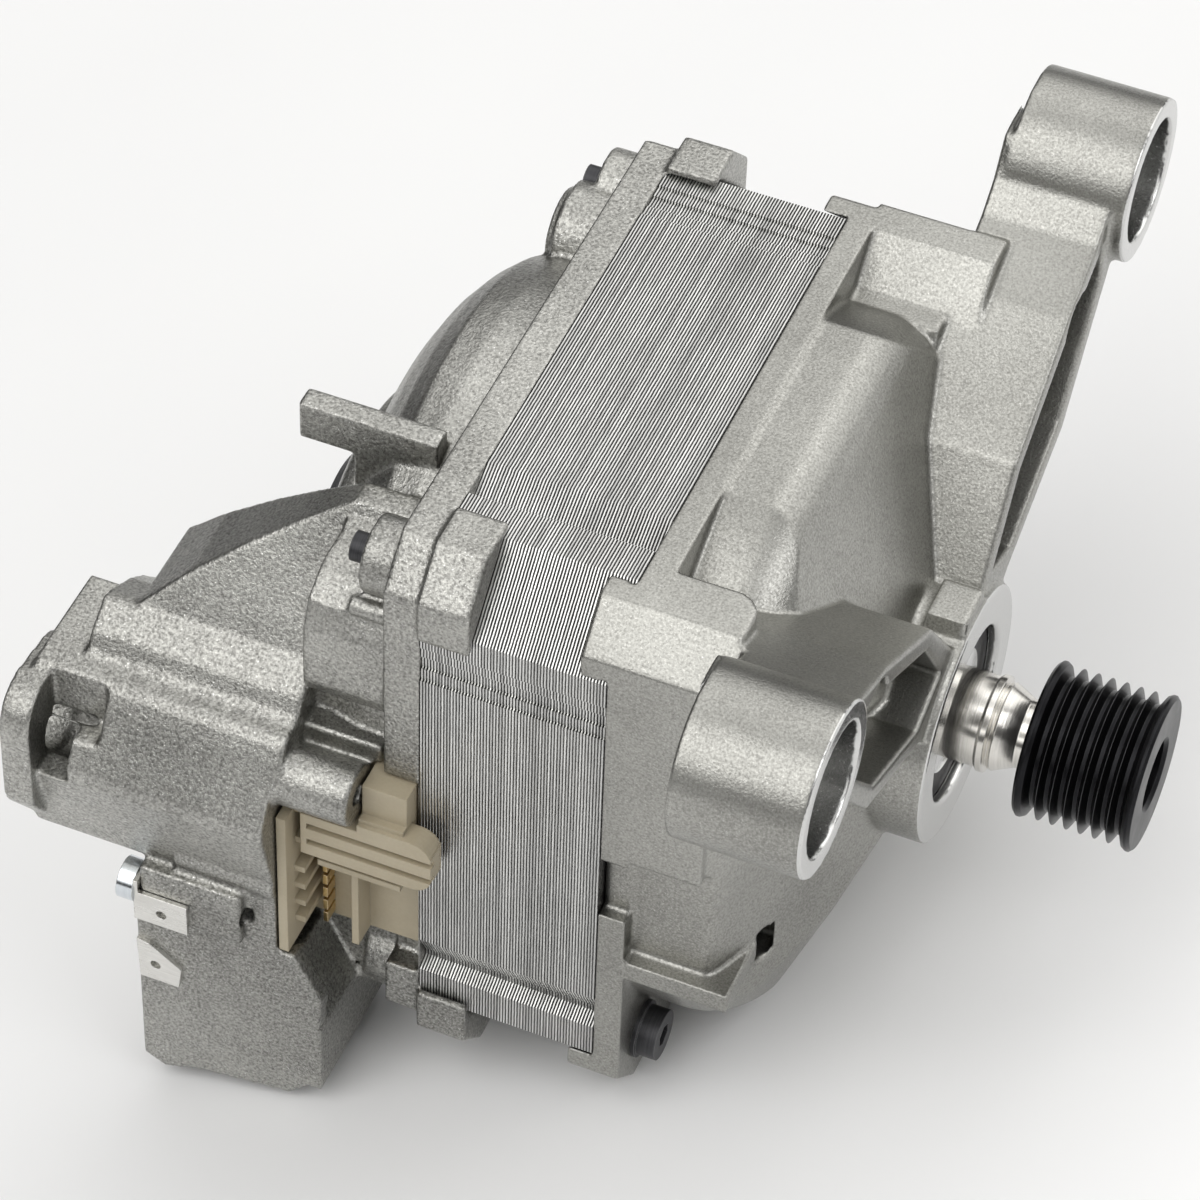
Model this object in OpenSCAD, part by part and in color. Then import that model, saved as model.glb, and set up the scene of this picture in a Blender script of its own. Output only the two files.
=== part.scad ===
// Washing machine drive motor: a brushed universal motor with a bare laminated stator
// clamped between two die-cast aluminium end shields.
// X runs along the shaft towards the pulley, Y away from the connector side, Z up.
// The origin is on the shaft axis, at the stator face that meets the drive-end shield.

/* [Stator core] */
// Side of the square stator laminations
stack_side = 109; // [104:1:116]
// Length of the lamination stack
stack_len = 30; // [26:1:36]
// Leg of the corner chamfer of the laminations
stack_corner = 11.5; // [10:0.5:12.5]
// Rotor bore of the stator
stator_bore_d = 57; // [56:0.5:59]
// Width of the body of one pole
pole_w = 36; // [32:1:40]
// Depth of one pole shoe behind the bore
shoe_depth = 5.5; // [4.5:0.5:6.5]
// Thickness of the yoke from the flat side to the coil window
yoke_t = 12.5; // [11:0.5:14]
// Depth of the assembly groove in each flat side
side_groove_depth = 2.4; // [1.5:0.1:3]
// Distance of the assembly groove from the middle of the side
side_groove_pos = 33; // [28:1:35]

/* [Field coils] */
// Width of a coil side in its slot
coil_w = 8; // [7:0.5:8.5]
// Height of a coil
coil_h = 8; // [6:0.5:9]
// Thickness of the plastic end insulator
insulator_t = 1.2; // [0.8:0.1:1.6]

/* [Housing screws] */
// Offset of each screw from the shaft axis, along Y and along Z
screw_pos = 45; // [44:0.5:46]
// Diameter of the screws
screw_d = 4.8; // [4:0.1:5]
// Diameter of the screw heads
screw_head_d = 8.5; // [7.5:0.5:9]
// Length of the screw end that stands out of the rear boss
screw_tail = 3.2; // [2:0.2:5]

/* [Drive-end shield] */
// Thickness of the flange on the stator
flange_t = 4.5; // [4:0.5:6]
// Leg of the chamfer along the flange corners
flange_corner = 7; // [5:0.5:8]
// Reach of the corner claws over the stator
claw_reach = 4.4; // [3:0.2:6]
// Reach of the two upper corner posts in front of the stator
post_len = 18.4; // [16:0.5:21]
// Front face of the bearing hub, from the stator
hub_x = 40; // [39:0.5:43]
// Outer diameter of the bearing hub
hub_d = 43; // [42:0.5:46]
// Opening of the hub in front of the bearing
hub_mouth_d = 29.3; // [27:0.5:30]
// Wall of the bell
bell_wall = 3.6; // [3:0.2:4.4]

/* [Mounting arms] */
// Distance of each front lug from the middle plane
lug_y = 70.4; // [68:0.2:74]
// Height of the front lugs over the shaft
lug_z = 55.3; // [53:0.2:58]
// Front face of the front lugs, from the stator
lug_x = 41; // [40:0.5:44]
// Length of the front lugs
lug_len = 20.5; // [18:0.5:22]
// Outer diameter of the front lugs
lug_d = 27; // [26:0.5:29]
// Bore of the front lugs, for a rubber bush
lug_bore_d = 20.5; // [19:0.5:21]
// Wall of the arm channels
arm_wall = 3.4; // [3:0.2:4]
// Front edge of the arm channels, from the stator
arm_edge_x = 38.5; // [37:0.5:39.5]

/* [Rear shield] */
// Thickness of the rear flange
rear_flange_t = 6; // [5:0.5:7]
// Reach of the rear corner pads over the stator
rear_claw_reach = 8.6; // [6:0.2:10]
// Diameter of the dome over the coil ends
dome_d = 101; // [99:0.5:103]
// Reach of that dome behind the stator
dome_reach = 19; // [18:0.5:21]
// Outer diameter of the ring recess inside the rear hub
brush_recess_d = 43; // [40:1:44]
// Back face of the dome, behind the stator
brush_dome_reach = 27.3; // [27:0.1:30]
// Reach of the screw bosses behind the stator
rear_boss_reach = 11.6; // [10:0.2:14]
// Outer diameter of the rear bearing hub
rear_hub_d = 50; // [47:0.5:52]

/* [Rear arm] */
// End face of the rear arm, behind the stator
rear_arm_reach = 65; // [62:1:70]
// Thickness of the end wall of the rear arm
end_wall_t = 5; // [4:0.5:7]
// Bore of the rear mounting hole
rear_bore_d = 10.5; // [8:0.5:11]

/* [Connector] */
// Front face of the connector wall, from the middle plane
conn_wall_y = 63; // [61:0.5:65]
// Thickness of the connector wall
conn_wall_t = 3.4; // [3:0.2:4.5]
// Height of the terminal block
block_h = 40; // [37:1:42]
// Width of one flat terminal
blade_w = 2.2; // [1.8:0.1:2.4]
// Number of flat terminals
blade_count = 6; // [4:1:6]

/* [Drive-end bearing] */
// Bore of the drive-end bearing
brg_a_bore_d = 15; // [14:0.5:16]
// Outer diameter of the drive-end bearing
brg_a_outer_d = 35; // [34:0.5:36]
// Width of the drive-end bearing
brg_a_w = 11; // [10:0.5:12]
// Ball diameter of the drive-end bearing
brg_a_ball_d = 6; // [5:0.1:6.2]

/* [Rear bearing] */
// Bore of the rear bearing
brg_b_bore_d = 10; // [9:0.5:10.5]
// Outer diameter of the rear bearing
brg_b_outer_d = 26; // [25:0.5:27]
// Width of the rear bearing
brg_b_w = 8; // [7:0.5:8.5]
// Ball diameter of the rear bearing
brg_b_ball_d = 4.6; // [3.8:0.1:4.8]

/* [Armature] */
// Air gap between armature and poles
air_gap = 0.5; // [0.4:0.1:0.9]
// Number of armature slots and of commutator bars
slot_count = 24; // [20:2:26]
// Opening of a slot at the armature surface
slot_mouth = 2; // [1.6:0.2:2.4]
// Depth of a slot
slot_depth = 13; // [10:0.5:14]
// Reach of the winding heads beyond the core
head_reach = 9; // [8:0.5:9.5]
// Diameter of the commutator
comm_d = 33; // [31:0.5:34]
// Length of the commutator bars
comm_len = 11; // [10.5:0.5:11.5]
// Diameter of the shaft inside the armature
core_shaft_d = 17; // [16:0.5:18]

/* [Pulley] */
// Back face of the pulley, from the stator
pulley_x = 52; // [51:0.5:54]
// Outer diameter of the pulley
pulley_d = 25.6; // [24.5:0.2:27]
// Width of each end land of the pulley
pulley_land = 0.9; // [0.7:0.1:1.6]
// Number of belt grooves
groove_count = 7; // [4:1:8]
// Pitch of the belt grooves
groove_pitch = 2.34; // [2.3:0.02:2.4]
// Depth of the belt grooves
groove_depth = 2.1; // [1.6:0.1:2.4]
// Diameter of the shaft in the pulley
nose_d = 11.4; // [10.6:0.2:12]
// Depth of the shaft end inside the pulley's front face
nose_recess = 4; // [3:0.5:6]

/* [Brushes] */
// Width of a carbon brush along the shaft
brush_x = 7; // [6:0.5:7.5]
// Thickness of a carbon brush across the commutator
brush_z = 5; // [4.5:0.5:6]
// Length of a carbon brush
brush_len = 18; // [16:0.5:18.5]
// Wall of the brass brush tube
tube_t = 0.7; // [0.5:0.1:0.9]
// Wire of the brush spring
spring_wire_d = 0.6; // [0.4:0.1:0.8]
// Turns of the brush spring
spring_turns = 5; // [4:1:7]

/* [Clearances] */
// Air between a moving piece and its neighbour
run_gap = 0.3; // [0.25:0.05:0.4]
// Radial air of a running fit
fit_gap = 0.04; // [0.02:0.01:0.06]

/* [Hidden] */
$fn = 72;
eps = 0.02;
half = stack_side / 2;
back = -stack_len;
cast = [0.72, 0.73, 0.72];
steel = [0.62, 0.62, 0.63];
copper = [0.72, 0.4, 0.22];
cream = [0.9, 0.85, 0.74];
dark = [0.12, 0.12, 0.13];

// Windows, poles and coils
window_half = half - yoke_t;
window_corner = 16;
bore_r = stator_bore_d / 2;
shoe_r = bore_r + shoe_depth;
coil_in_y = pole_w / 2 + 0.6;
coil_out_y = coil_in_y + coil_w;
coil_top_z = window_half - 2.6;
coil_in_x = stack_len / 2 + insulator_t + 0.4;

// Drive-end shield levels along X
bell_front_x = hub_x - 9;
brg_a_front_x = hub_x - 2;
brg_a_back_x = brg_a_front_x - brg_a_w;
hub_r = hub_d / 2;
arm_floor_x = lug_x - lug_len + 1.5;
plate_y = half - 11.5;

// Rear levels along X
rear_flange_x = back - rear_flange_t;
dome_x = back - dome_reach;
brush_dome_x = back - brush_dome_reach;
riser_w = 2;
comm_front_x = back - head_reach - 1.5;
comm_back_x = comm_front_x - comm_len;
brush_mid_x = (comm_front_x - riser_w + comm_back_x) / 2;
pocket_w = brush_x / 2 + 2.5;
brg_b_front_x = comm_back_x - 1.5;
brg_b_back_x = brg_b_front_x - brg_b_w;
washer_t = 0.6;
rear_hub_x = brg_b_back_x - washer_t - 1.8;
sensor_end_x = rear_hub_x - 4.6;

// Rear arm and connector levels
arm_end_x = back - rear_arm_reach;
arm_front_x = back - 20;
conn_left_x = back - 46;
block_left_x = back - 21;
block_top_z = 7;
block_y = half - 0.8;
cover_boss_y = -58.3;

function at_angle(r, a) = [r * cos(a), r * sin(a)];

module along_x(x0, x1) {
    translate([x0, 0, 0]) rotate([90, 0, 90]) linear_extrude(x1 - x0) children();
}

module turn_x() {
    rotate([0, 90, 0]) rotate_extrude() children();
}

module rod_x(d, x0, x1) {
    translate([x0, 0, 0]) rotate([0, 90, 0]) cylinder(d = d, h = x1 - x0);
}

module block(lo, hi) {
    translate(lo) cube(hi - lo);
}

module corners() {
    for (sy = [-1, 1], sz = [-1, 1]) translate([0, sy * screw_pos, sz * screw_pos]) children();
}

module corners_top() {
    for (s = [-1, 1]) translate([0, s * screw_pos, screw_pos]) children();
}

// Square with round corners, by half side and corner radius
module round_square(h, r) {
    for (a = [-1, 1], b = [-1, 1]) translate([a * (h - r), b * (h - r)]) circle(r);
    square([2 * h, 2 * (h - r)], center = true);
    square([2 * (h - r), 2 * h], center = true);
}

// Square with flat corners, by half side and leg of the chamfer
module cut_square(h, c) {
    polygon([[h, c - h], [h, h - c], [h - c, h], [c - h, h],
        [-h, h - c], [-h, c - h], [c - h, -h], [h - c, -h]]);
}

// Outline shared by the stator sides: one groove and one shallow stepped recess a side
module side_marks() {
    for (q = [0:3]) rotate(90 * q) {
        translate([-half, -side_groove_pos]) polygon([[-1, 3.6], [0, 3.6],
            [side_groove_depth, -1.2], [side_groove_depth, -2.4], [0, -3.6], [-1, -3.6]]);
        translate([-half - 1, 31]) square([1.35, 7.2]);
        translate([-half - 1, 33.4]) square([1.7, 2.6]);
    }
}

module lamination_outline() {
    difference() {
        cut_square(half, stack_corner);
        side_marks();
    }
}

module pole_outline() {
    for (s = [-1, 1]) scale_z(s) {
        translate([-pole_w / 2, bore_r - 4]) square([pole_w, window_half - bore_r + 6]);
        intersection() {
            circle(shoe_r);
            polygon([[0, 0], at_angle(60, 26), [60, 60], [-60, 60], at_angle(60, 154)]);
        }
    }
}

module scale_z(s) {
    mirror([0, s < 0 ? 1 : 0]) children();
}

module stator_core() {
    color("gray") along_x(back, 0) difference() {
        lamination_outline();
        difference() {
            round_square(window_half, window_corner);
            pole_outline();
        }
        circle(bore_r);
        for (a = [-1, 1], b = [-1, 1]) translate([a, b] * screw_pos) circle(d = screw_d + 0.4);
    }
}

// Racetrack around one pole, lying in the plane of X and Y
module coil_ring(grow) {
    inner_x = coil_in_x - grow;
    inner_y = coil_in_y - grow;
    outer_x = coil_in_x + coil_w + grow;
    outer_y = coil_out_y + grow;
    difference() {
        racetrack(outer_x, outer_y, coil_w);
        racetrack(inner_x, inner_y, 2);
    }
}

module racetrack(hx, hy, r) {
    for (a = [-1, 1], b = [-1, 1]) translate([a * (hx - r), b * (hy - r)]) circle(r);
    square([2 * hx, 2 * (hy - r)], center = true);
    square([2 * (hx - r), 2 * hy], center = true);
}

module field_coil() {
    color(copper) translate([back / 2, 0, coil_top_z - coil_h]) linear_extrude(coil_h) coil_ring(0);
}

module field_coil_upper() {
    field_coil();
}

module field_coil_lower() {
    mirror([0, 0, 1]) field_coil();
}

// Moulded frame on each end of the poles, between the laminations and the coil heads
module end_insulator() {
    color(cream) along_x(0, insulator_t) difference() {
        round_square(window_half + 2, window_corner + 4);
        difference() {
            round_square(window_half - 0.2, window_corner);
            pole_outline();
        }
        circle(bore_r);
    }
}

module front_end_insulator() {
    end_insulator();
}

module rear_end_insulator() {
    translate([back, 0, 0]) mirror([1, 0, 0]) end_insulator();
}

// Rounding of the bell along the straight edges and around the corners
edge_r = 8;
edge_x = 11.4;
edge_z = half - 0.4 - edge_r;
bell_reach = half + 3.3;
corner_r = 12;
corner_x = 11.5;
corner_reach = bell_reach - corner_r;
slope = 22.8;

// Side view of the bell, smaller by t all round
module bell_side(t) {
    r = edge_r - t;
    intersection() {
        translate([flange_t - 1, -80]) square([80, 160]);
        union() {
            for (s = [-1, 1]) translate([edge_x, s * edge_z]) circle(r);
            polygon([[flange_t - 2, -edge_z - r], [edge_x, -edge_z - r], [edge_x, -edge_z]
                + r * [cos(slope), -sin(slope)], [edge_x, -edge_z] + r * [cos(slope), -sin(slope)]
                + 44 * [sin(slope), cos(slope)], [edge_x, edge_z] + r * [cos(slope), sin(slope)]
                + 44 * [sin(slope), -cos(slope)], [edge_x, edge_z] + r * [cos(slope), sin(slope)],
                [edge_x, edge_z + r], [flange_t - 2, edge_z + r]]);
        }
    }
}

module bell_form(t) {
    r = corner_r - t;
    intersection() {
        rotate([90, 0, 0]) translate([0, 0, -70]) linear_extrude(140) bell_side(t);
        translate([0, 0, -70]) linear_extrude(140) bell_side(t);
        turn_x() intersection() {
            translate([0, 0]) square([90, 90]);
            union() {
                translate([corner_reach, corner_x]) circle(r);
                square([corner_reach + r, corner_x]);
                polygon([[0, 0], [corner_reach, 0], [corner_reach, corner_x] + r * [sin(slope), cos(slope)],
                    [corner_reach, corner_x] + r * [sin(slope), cos(slope)] + 56 * [-cos(slope), sin(slope)],
                    [0, 50]]);
            }
        }
    }
}

// Outline of one arm from the hub to the far lug, seen from the pulley
module arm_outline() {
    polygon([[4, hub_r - 4], [lug_y - 51.3, lug_z - 17.9], [lug_y - 30, lug_z - 5.4],
        [lug_y - 17.9, lug_z - 0.3], [lug_y - 13.4, lug_z + 3.2], [lug_y - 9.4, lug_z + 9.5],
        [lug_y - 2, lug_z + 10], [lug_y - 8, lug_z - 11.1], [lug_y - 17, lug_z - 21.5],
        [lug_y - 26, lug_z - 32.3], [hub_r - 1, 13], [hub_r - 8, 8]]);
}

module arm_pocket() {
    polygon([[11.6, hub_r - 1], [lug_y - 49.2, lug_z - 20.7], [lug_y - 28.4, lug_z - 8.5],
        [lug_y - 16.9, lug_z - 3.7], [lug_y - 14.3, lug_z - 2.1], [lug_y - 14, lug_z - 7],
        [lug_y - 13.4, lug_z - 11], [lug_y - 19.6, lug_z - 19.3], [lug_y - 28.3, lug_z - 29.5],
        [hub_r, 17]]);
}

module arm() {
    difference() {
        along_x(arm_floor_x - 3, arm_edge_x) arm_outline();
        along_x(arm_floor_x, arm_edge_x + 1) arm_pocket();
    }
    translate([0, lug_y, lug_z]) rod_x(lug_d, lug_x - lug_len, lug_x);
}

// Corner claws hug the chamfered stator corner and carry a housing screw
module claws(x0, x1, out, inner) {
    along_x(x0, x1) difference() {
        intersection() {
            cut_square(half + out, flange_corner);
            for (a = [-1, 1], b = [-1, 1]) translate([a, b] * (half + out - inner / 2))
                square(inner, center = true);
        }
        cut_square(half + eps / 2, stack_corner - 0.4);
    }
}

module drive_shield_body() {
    difference() {
        union() {
            along_x(0, flange_t) cut_square(half, flange_corner);
            bell_form(0);
            rod_x(hub_d, bell_front_x - 6, hub_x);
            arm();
            mirror([0, 1, 0]) arm();
            claws(-claw_reach, 0, 0, 14);
            // Upper corner posts that the arms grow from
            along_x(flange_t - 1, post_len) intersection() {
                cut_square(half, flange_corner);
                union() {
                    translate([plate_y - 1.5, half - 17]) square([17, 15.4]);
                    translate([plate_y, half - 8]) square([17, 8]);
                }
            }
            // Near post, round at its free corner
            intersection() {
                along_x(0, post_len) cut_square(half, flange_corner);
                translate([0, -half, half - 17]) linear_extrude(17) {
                    translate([flange_t - 1, 0]) square([post_len - flange_t + 1, 11.5]);
                    translate([flange_t - 1, 0]) square([post_len - flange_t - 3, 15.5]);
                    translate([post_len - 4, 11.5]) circle(4);
                }
            }
            // Side wall under the near arm
            block([0, -half, 5], [post_len - 2, -half + 5, half - 8]);
            // Sloping plate from the far post down to the bell
            along_x(flange_t - 1, 25) polygon([[plate_y, half], [plate_y - 9.4, half - 9.4],
                [plate_y - 6.4, half - 12.4], [plate_y + 6, half - 12.4], [plate_y + 6, half]]);
            corners_top() rod_x(screw_d + 5, flange_t - 1, arm_floor_x - 2);
            // Shelf on the near side
            block([0, -half, -22.4], [22, -36, -18.4]);
            // Raised block where the arm wall meets the hub
            along_x(32.8, arm_edge_x + 1) polygon([[-6, hub_r - 4], [-3.6, hub_r + 2.5],
                [4.4, hub_r + 2.5], [7, hub_r - 4]]);
            // Web that closes the corner between the plate, the bell and the arm
            along_x(flange_t - 1, 23.4) polygon([[30, 30], [34.5, 45], [43.4, 45], [46, 30]]);
            along_x(flange_t - 1, 20) polygon([[29, 40], [32, 47.6], [38, 47.6], [38, 40]]);
            // Top wall of the near arm, carried back to the flange
            along_x(flange_t - 1, arm_floor_x - 2) polygon([[-30, 38], [-30, 43.6], [-40.4, 49.9],
                [-44, 51.4], [-44, 38]]);
        }
        // Cavity over the coil heads
        along_x(-1, 11) intersection() {
            square(2 * half - 14, center = true);
            circle(bell_reach - bell_wall);
        }
        turn_x() polygon([[0, -2], [half - 7.6, -2], [half - 7.6, 10], [half - 8.6, 13],
            [half - 11, 15.6], [hub_r, bell_front_x - 4],
            [hub_r, brg_a_back_x - 2], [0, brg_a_back_x - 2]]);
        // Bearing seat and mouth of the hub
        rod_x(brg_a_outer_d, brg_a_back_x - 5, brg_a_front_x);
        rod_x(hub_mouth_d, brg_a_back_x - 5, hub_x + 1);
        rod_x(brg_a_outer_d + 2, brg_a_back_x - 1.25, brg_a_back_x + 0.05);
        for (s = [-1, 1]) translate([0, s * lug_y, lug_z]) rod_x(lug_bore_d, lug_x - lug_len - 1, lug_x + 1);
        corners() rod_x(screw_d + 0.4, -claw_reach - 1, flange_t + 40);
        corners_top() rod_x(screw_head_d + 2, arm_floor_x, lug_x + 1);
        mirror([0, 0, 1]) corners_top() rod_x(screw_head_d + 2, flange_t, flange_t + 14);
        // Notches in the near flange edge and in the shelf
        block([-1, -half - 1, -9], [flange_t + 1, -half + 2.4, 4]);
        block([14, -41.5, -24], [23, -35, -17]);
        // Window of the near side, between claw and shelf
        block([flange_t, -half - 1, -18.4], [post_len, -half + 3, 5]);
    }
}

module drive_end_shield() {
    color(cast) drive_shield_body();
}

// Profile of the rear dome, as [radius, x], thinner by t
function dome_profile(t) = let (r = dome_d / 2 - t, e = brush_dome_x + t)
    [[0, rear_flange_x + 1], [r + 1, rear_flange_x + 1], [r + 0.7, dome_x + 7],
    [r - 0.5, dome_x + 2], [r - 3.3, dome_x - 1.2 + t / 3], [r - 7, e + 4.2 - t / 4],
    [r - 11.5, e + 1.8 - t / 5], [r - 16.5, e + 0.5], [r - 22, e], [0, e]];

// Outline of the rear arm, seen from the pulley: top slope, valley, ridge, face and underside
module rear_arm_outline() {
    polygon([[-27, 3], [-36, 12.6], [-40, 15.8], [-46.5, 19.4], [-48.8, 20], [-53.4, 16.8],
        [-55, 14.2], [-56.6, 13.2], [-58.6, 13.2], [-60.2, 12.2], [-61.6, 10], [-67.3, -0.3],
        [-67.4, -3], [-62.5, -21], [-60, -23], [-48, -23], [-30, -8]]);
}

module rear_arm() {
    along_x(arm_end_x + end_wall_t + 4, arm_front_x) rear_arm_outline();
    along_x(arm_end_x + 2, arm_end_x + end_wall_t + 5) intersection() {
        rear_arm_outline();
        translate([-80, -40]) square([40, 53.5]);
    }
    along_x(arm_end_x, arm_end_x + end_wall_t) rear_arm_end();
    // Sloping web from the arm up to the dome
    intersection() {
        along_x(arm_end_x, rear_flange_x) polygon([[-48.6, 19.8], [-34.4, 43], [-30, 43], [-30, 8],
            [-42, 8]]);
        translate([0, -20, 0]) rotate([90, 0, 0]) linear_extrude(40) polygon([[-80.5, 8], [-80.5, 20],
            [-73.2, 26.6], [-64.8, 33], [-57.6, 37.9], [-49.8, 42.7], [-46, 44], [rear_flange_x, 44],
            [rear_flange_x, 8]]);
    }
}

module rear_arm_end() {
    hull() {
        translate([-61.5, 4.8]) circle(7, $fn = 32);
        translate([-54, 4]) circle(7, $fn = 32);
        translate([-62.5, -9]) circle(6, $fn = 32);
        translate([-57, -17.5]) circle(5.5, $fn = 32);
        translate([-50, -17.5]) circle(5.5, $fn = 32);
    }
}

module connector_housing() {
    x1 = block_left_x + 0.6;
    x2 = back - 13.6;
    // Front wall beside and under the terminal block
    translate([0, -conn_wall_y + conn_wall_t, 0]) rotate([90, 0, 0]) linear_extrude(conn_wall_t)
        polygon([[back - 43.5, -20], [x1, -20], [x1 + 1.1, -30.3], [x2 + 0.2, -42.8], [x2 - 1.6, -64.2],
            [x2 - 6, -68.5], [x2 - 22, -70.7], [conn_left_x + 4, -73], [conn_left_x, -71],
            [conn_left_x, -36], [back - 43.5, -34.2]]);
    // Back wall between the connector and the dome
    block([conn_left_x, -half + 6, -52], [rear_flange_x, -half + 9, 18]);
    // Left wall
    block([conn_left_x, -conn_wall_y, -70], [conn_left_x + conn_wall_t, -half + 9, -36]);
    block([back - 43.5, -conn_wall_y + 1, -38], [back - 40, -half + 9, -20]);
    // Bottom box
    difference() {
        block([conn_left_x, -conn_wall_y, -65], [x2, -34, -50.4]);
        block([conn_left_x + conn_wall_t, -conn_wall_y + conn_wall_t, -66], [x2 - 3.4, -38, -53.6]);
    }
    // Steep floor of the connector
    translate([0, -37.5, 0]) rotate([90, 0, 0]) linear_extrude(conn_wall_y - 38.5)
        polygon([[x1 - 4, -38.2], [x1 + 1, -38.2], [x2, -50.4], [x2, -54], [x1 - 4, -54]]);
    // Screw block behind the upper earth tab, and the rounded edge above it
    block([back - 43.5, -65.6, -31.5], [back - 26, -58, -20.6]);
    translate([0, -59.5, -18]) rod_x(9, back - 38, back - 21);
}

// Round boss above the terminal block, with the hole of the cover screw
module cover_boss() {
    translate([0, cover_boss_y, 5]) difference() {
        rod_x(10.4, arm_front_x - 0.6, back - 8.5);
        rod_x(3.4, back - 18, back - 8);
    }
}

module rear_shield_body() {
    difference() {
        union() {
            along_x(rear_flange_x, back) cut_square(half, flange_corner);
            turn_x() polygon(dome_profile(0));
            turn_x() polygon([[0, rear_hub_x], [rear_hub_d / 2 - 3, rear_hub_x],
                [rear_hub_d / 2 - 1, rear_hub_x + 1], [rear_hub_d / 2, rear_hub_x + 3],
                [rear_hub_d / 2 + 0.6, brush_dome_x + 2], [0, brush_dome_x + 2]]);
            claws(back, back + rear_claw_reach, 1.6, 15);
            corners() rod_x(12.5, back - rear_boss_reach, back);
            // Lobes that tie the upper bosses to the dome
            translate([0, 37, 40.5]) rod_x(17, dome_x + 4.4, back - 2);
            translate([0, 37, 40.5]) rod_x(14, dome_x + 3, dome_x + 5);
            // Brush pockets on both sides
            for (s = [-1, 1]) block([brush_dome_x + 1, s < 0 ? -53 : 20, -11],
                [dome_x + 12, s < 0 ? -20 : 53, 11]);
            // Fin on top
            block([back - 33.4, -25.2, 42.4], [back - 10, -21.2, 49.8]);
            block([back - 24, -25.2, 30], [back - 10, -21.2, 46]);
            // Pillar under the near upper boss
            along_x(arm_front_x, rear_flange_x + 1) polygon([[-50.6, 17.6], [-52.6, 19], [-53.4, 21.5],
                [-53, 32], [-51, 37], [-46, 40], [-30, 41], [-30, 17.6]]);
            for (z = [34.5, 38.5]) translate([0, -50.6, z]) rod_x(3.2, back - 13, rear_flange_x + 1);
            rear_arm();
            connector_housing();
        }
        // Cavity of the domes
        turn_x() polygon(dome_profile(bell_wall));
        along_x(rear_flange_x - 0.5, back + 1) round_square(half - 7, 24);
        rod_x(brg_b_outer_d, brg_b_back_x - washer_t, 0);
        turn_x() translate([brg_b_outer_d / 2 + 3.6, brush_dome_x - 2])
            square([brush_recess_d / 2 - brg_b_outer_d / 2 - 3.6, 9]);
        rod_x(brg_b_outer_d - 4, rear_hub_x - 1, 0);
        // Hollow of the brush pockets
        for (s = [-1, 1]) block([brush_mid_x - pocket_w, s < 0 ? -49 : 14, -5.7],
            [brush_mid_x + pocket_w, s < 0 ? -14 : 49, 5.7]);
        corners() rod_x(screw_d + 0.4, back - rear_boss_reach - 4, back + 20);
        corners_top() rod_x(screw_d + 0.4, back - rear_boss_reach - 6, back);
        // Pocket behind the end wall, mounting hole and holes of the connector
        block([arm_end_x + end_wall_t, -72, -4], [arm_end_x + end_wall_t + 5.6, -61.5, 6]);
        block([arm_end_x + end_wall_t, -72, 4], [arm_end_x + end_wall_t + 10, -59.6, 14]);
        translate([0, -57.5, -1]) {
            rod_x(rear_bore_d, arm_end_x - 1, arm_end_x + end_wall_t + 1);
            rod_x(rear_bore_d + 0.8, arm_end_x + end_wall_t, arm_end_x + end_wall_t + 8);
        }
        translate([0, -63.5, -26.5]) rod_x(3.4, back - 45, back - 25);
        translate([0, -46.6, -48.6]) rod_x(3.2, back - 24, back - 13);
        // Opening for the terminal block
        translate([0, -half + 4.3, 0]) rotate([90, 0, 0]) linear_extrude(20) polygon([[block_left_x, -33.4],
            [block_left_x + 2.8, -33.4], [block_left_x + 5.3, -38], [back - 0.3, -38],
            [back - 0.3, block_top_z + 0.4], [block_left_x, block_top_z + 0.4]]);
    }
    cover_boss();
}

module rear_end_shield() {
    color(cast) rear_shield_body();
}

module housing_screws() {
    color(dark) {
        corners_top() {
            rod_x(screw_d, back - rear_boss_reach - screw_tail, arm_floor_x);
            screw_head(arm_floor_x);
        }
        mirror([0, 0, 1]) corners_top() {
            rod_x(screw_d, back - rear_boss_reach - screw_tail, flange_t);
            screw_head(flange_t);
        }
    }
}

module screw_head(x) {
    difference() {
        union() {
            rod_x(screw_head_d, x, x + 4);
            rod_x(screw_head_d + 1.2, x, x + 0.8);
        }
        translate([x + 2, 0, 0]) rotate([0, 90, 0]) cylinder(d = 4, h = 3, $fn = 6);
    }
}

// Deep-groove ball bearing: centre of its width, bore, outer size, width and ball size
module outer_race(x, outer, bore, w, ball) {
    pitch = (outer + bore) / 4;
    land = pitch + ball * 0.36;
    color(steel) turn_x() difference() {
        translate([land, x - w / 2]) square([outer / 2 - land, w]);
        translate([pitch, x]) circle(ball / 2 + fit_gap);
    }
}

module inner_race(x, outer, bore, w, ball) {
    pitch = (outer + bore) / 4;
    land = pitch - ball * 0.36;
    color(steel) turn_x() difference() {
        translate([bore / 2, x - w / 2]) square([land - bore / 2, w]);
        translate([pitch, x]) circle(ball / 2 + fit_gap);
    }
}

module ball_set(x, outer, bore, ball, count) {
    pitch = (outer + bore) / 4;
    color(steel) for (i = [0:count - 1]) rotate([360 / count * i, 0, 0])
        translate([x, 0, pitch]) sphere(d = ball);
}

module ball_cage(x, outer, bore, ball, count) {
    pitch = (outer + bore) / 4;
    color("goldenrod") difference() {
        turn_x() translate([pitch - ball * 0.14, x - ball * 0.62]) square([ball * 0.28, ball * 1.24]);
        for (i = [0:count - 1]) rotate([360 / count * i, 0, 0])
            translate([x, 0, pitch]) sphere(d = ball + 0.24);
    }
}

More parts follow.
